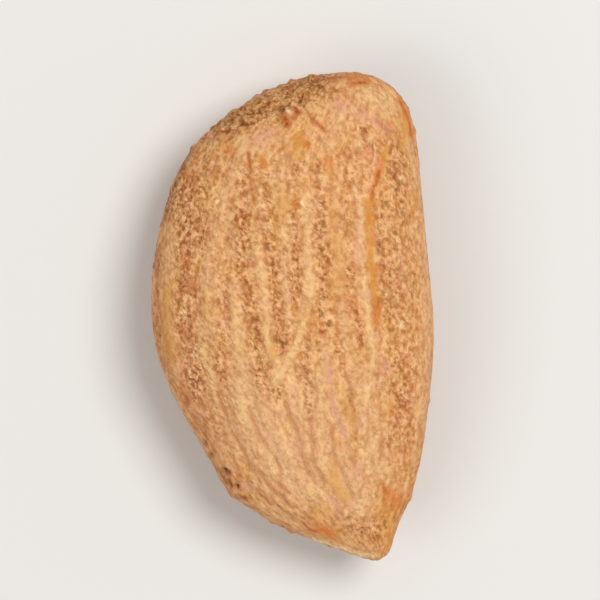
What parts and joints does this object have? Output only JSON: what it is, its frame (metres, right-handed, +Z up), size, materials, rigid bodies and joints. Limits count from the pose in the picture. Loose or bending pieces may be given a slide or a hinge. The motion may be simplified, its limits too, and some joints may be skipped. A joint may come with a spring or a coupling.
{
  "type": "almond",
  "caption": "Shelled almond kernel in its brown skin: a flattened teardrop, pointed at one end and blunt at the other, lying on its broad side.",
  "frame": {"origin": "middle of the bounding box's underside, at the height of the surface that the kernel lies on", "axes": "+X towards the kernel's straighter side, +Y from the pointed tip towards the blunt end, +Z up out of the broad side"},
  "size_m": [0.0138, 0.024, 0.0078],
  "materials": {
    "skin": "matt dry seed skin, mid brown, with paler lengthwise veins and darker, finely grained furrows"
  },
  "bodies": {
    "root": {"almond_kernel": "skin"}
  },
  "joints": []
}
